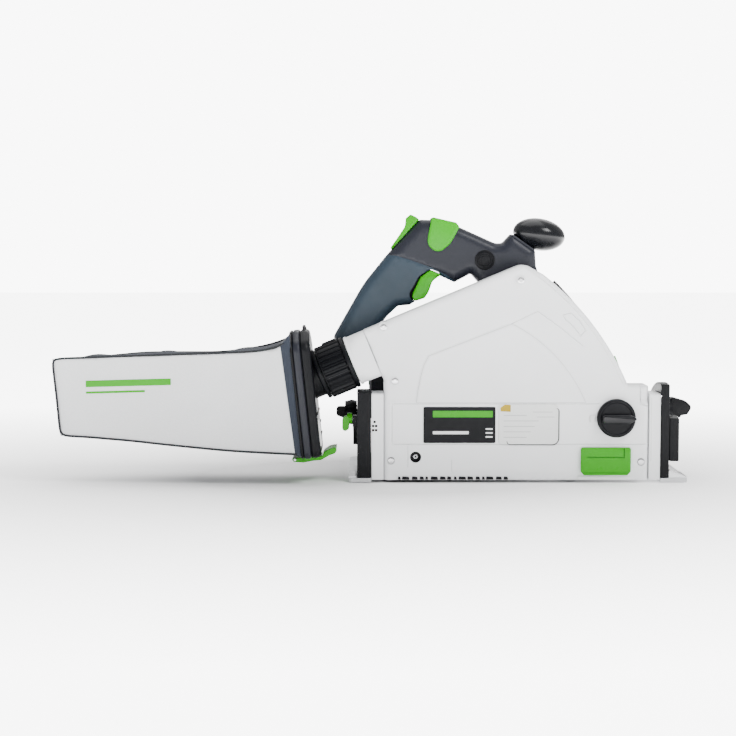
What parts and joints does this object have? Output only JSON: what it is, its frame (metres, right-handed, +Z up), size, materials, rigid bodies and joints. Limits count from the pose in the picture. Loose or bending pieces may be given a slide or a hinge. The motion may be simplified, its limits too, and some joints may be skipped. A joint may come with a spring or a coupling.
{
  "type": "track plunge saw",
  "caption": "Cordless plunge-cut track saw: bevelling base plate, closed blade hood, hinged motor and handle unit, detachable cloth dust bag.",
  "frame": {"origin": "middle of the base plate's length, on the sole's plane, 70 mm left of the blade's plane", "axes": "+X forwards along the cut, +Y to the saw's left (motor side), +Z up; sole plane z = 0"},
  "size_m": [0.6439, 0.2585, 0.2718],
  "materials": {
    "white_housing": "fine satin moulded plastic, light silver-white",
    "black_plastic": "matt black moulded plastic",
    "knob_plastic": "smooth glossy black",
    "soft_grip": "soft-touch dark blue grip over nylon",
    "green_plastic": "bright green moulded controls",
    "plate_aluminium": "cast and milled, clear coated",
    "steel": "ground steel",
    "winding": "varnished copper winding",
    "bag_fabric": "woven light grey cloth"
  },
  "bodies": {
    "base": {"base_plate": "plate_aluminium", "rear_bevel_segment": "black_plastic", "front_bevel_segment": "black_plastic", "inner_glide_strip": "black_plastic", "outer_glide_strip": "black_plastic"},
    "rear_cam": {"rear_rail_cam": "green_plastic"},
    "front_cam": {"front_rail_cam": "green_plastic"},
    "kickback_foot": {"kickback_sensor": "black_plastic"},
    "hood": {"hood_cover": "white_housing", "hood_back": "white_housing", "dust_duct": "white_housing", "front_end_block": "white_housing", "rear_end_block": "white_housing", "depth_scale": "black_plastic", "name_plate": "black_plastic", "rating_plate": "white_housing", "plunge_pivot_pin": "steel", "cover_screw_front": "steel", "cover_screw_middle": "steel", "cover_screw_rear": "steel", "cover_screw_rear_top": "steel", "cover_screw_top": "steel", "rear_clamp_bolt": "steel", "front_clamp_bolt": "steel"},
    "guard": {"splinter_guard": "green_plastic"},
    "guard_knob": {"splinter_guard_knob": "black_plastic"},
    "stop": {"depth_stop": "green_plastic"},
    "front_knob_body": {"front_bevel_knob": "black_plastic"},
    "rear_knob_body": {"rear_bevel_knob": "black_plastic"},
    "undercut": {"undercut_lever": "green_plastic"},
    "saw_unit": {"gear_housing": "plate_aluminium", "gear_cover": "plate_aluminium", "motor_housing": "soft_grip", "motor_end_cap": "black_plastic", "motor_stator": "winding", "spindle_bearing": "steel", "handle_right_shell": "soft_grip", "handle_left_shell": "soft_grip", "handle_side_cap": "black_plastic", "front_knob": "knob_plastic", "trigger_switch": "black_plastic", "control_board": "green_plastic", "battery_holder": "soft_grip"},
    "arbor": {"spindle": "steel", "spindle_gear": "steel", "outer_flange": "steel", "blade_bolt": "steel", "saw_blade": "steel"},
    "rotor": {"motor_rotor": "steel"},
    "dial": {"speed_dial": "green_plastic"},
    "trigger_body": {"trigger": "green_plastic"},
    "lock": {"plunge_lock": "green_plastic"},
    "lever": {"blade_change_lever": "green_plastic"},
    "inner_pack": {"battery_inner": "black_plastic"},
    "outer_pack": {"battery_outer": "black_plastic"},
    "collar": {"bayonet_collar": "black_plastic"},
    "bag": {"bag_connector": "black_plastic", "bag_frame": "black_plastic", "dust_bag": "bag_fabric"},
    "clip": {"bag_clip": "green_plastic"}
  },
  "joints": [
    {"name": "rear_cam_turn", "type": "hinge", "parent": "base", "child": "rear_cam", "pos_m": [-0.112, 0.032, 0.008], "axis": [0, 0, 1], "range_deg": [-60, 60]},
    {"name": "front_cam_turn", "type": "hinge", "parent": "base", "child": "front_cam", "pos_m": [0.112, 0.032, 0.008], "axis": [0, 0, 1], "range_deg": [-60, 60]},
    {"name": "kickback_sense", "type": "slide", "parent": "base", "child": "kickback_foot", "axis": [0, 0, 1], "range_m": [-0.001, 0.0015], "stiffness_N_per_m": 400},
    {"name": "bevel", "type": "hinge", "parent": "base", "child": "hood", "pos_m": [0, -0.07, 0], "axis": [1, 0, 0], "range_deg": [-1, 47]},
    {"name": "splinter_guard_height", "type": "slide", "parent": "hood", "child": "guard", "axis": [0, 0, 1], "range_m": [-0.006, 0.004]},
    {"name": "guard_knob_turn", "type": "hinge", "parent": "hood", "child": "guard_knob", "pos_m": [0.0976, -0.084, 0.0657], "axis": [0, -1, 0], "range_deg": [0, 90]},
    {"name": "depth_stop_set", "type": "hinge", "parent": "hood", "child": "stop", "pos_m": [-0.128, -0.05, 0.03], "axis": [0, -1, 0], "range_deg": [0, 18]},
    {"name": "front_bevel_clamp", "type": "hinge", "parent": "hood", "child": "front_knob_body", "pos_m": [0.1518, -0.0158, 0.0646], "axis": [1, 0, 0], "range_deg": [-90, 90]},
    {"name": "rear_bevel_clamp", "type": "hinge", "parent": "hood", "child": "rear_knob_body", "pos_m": [-0.1626, -0.0158, 0.0646], "axis": [1, 0, 0], "range_deg": [-90, 90]},
    {"name": "undercut_release", "type": "hinge", "parent": "base", "child": "undercut", "pos_m": [-0.167, -0.07, 0.064], "axis": [1, 0, 0], "range_deg": [0, 25]},
    {"name": "plunge", "type": "hinge", "parent": "hood", "child": "saw_unit", "pos_m": [-0.128, -0.016, 0.03], "axis": [0, 1, 0], "range_deg": [0, 22.5], "stiffness_Nm_per_rad": 9, "springref_deg": -63.03},
    {"name": "arbor_spin", "type": "hinge", "parent": "saw_unit", "child": "arbor", "pos_m": [0.02047, -0.07, 0.08463], "axis": [0, -1, 0], "continuous": true},
    {"name": "rotor_spin", "type": "hinge", "parent": "saw_unit", "child": "rotor", "pos_m": [0.01168, 0, 0.10534], "axis": [0, -1, 0], "continuous": true},
    {"name": "speed_dial_turn", "type": "hinge", "parent": "saw_unit", "child": "dial", "pos_m": [0.01168, 0.0575, 0.13234], "axis": [0, 1, 0], "range_deg": [-150, 150]},
    {"name": "trigger_pull", "type": "hinge", "parent": "saw_unit", "child": "trigger_body", "pos_m": [-0.086, -0.016, 0.215], "axis": [0, 1, 0], "range_deg": [0, 4.5], "stiffness_Nm_per_rad": 1.2, "springref_deg": -8.59},
    {"name": "plunge_lock_press", "type": "slide", "parent": "saw_unit", "child": "lock", "axis": [0.6803, 0, 0.7329], "range_m": [0, 0.004], "stiffness_N_per_m": 500, "springref_m": -0.003},
    {"name": "blade_change_lift", "type": "hinge", "parent": "saw_unit", "child": "lever", "pos_m": [-0.063, -0.016, 0.249], "axis": [0, 1, 0], "range_deg": [0, 24]},
    {"name": "inner_battery_slide", "type": "slide", "parent": "saw_unit", "child": "inner_pack", "axis": [-1, 0, 0], "range_m": [0, 0.12]},
    {"name": "outer_battery_slide", "type": "slide", "parent": "saw_unit", "child": "outer_pack", "axis": [-1, 0, 0], "range_m": [0, 0.12]},
    {"name": "bayonet_turn", "type": "hinge", "parent": "hood", "child": "collar", "pos_m": [-0.167, -0.0665, 0.1216], "axis": [0.9239, 0, 0.3827], "range_deg": [0, 40]},
    {"name": "bag_swivel", "type": "hinge", "parent": "hood", "child": "bag", "pos_m": [-0.167, -0.0665, 0.1216], "axis": [0.9239, 0, 0.3827], "range_deg": [-25, 25]},
    {"name": "bag_clip_open", "type": "hinge", "parent": "bag", "child": "clip", "pos_m": [-0.2245, -0.0665, 0.023], "axis": [0, 1, 0], "range_deg": [0, 24]}
  ],
  "couplings": [
    {"joint": "rotor_spin", "follows": "arbor_spin", "ratio": -1.7692}
  ]
}
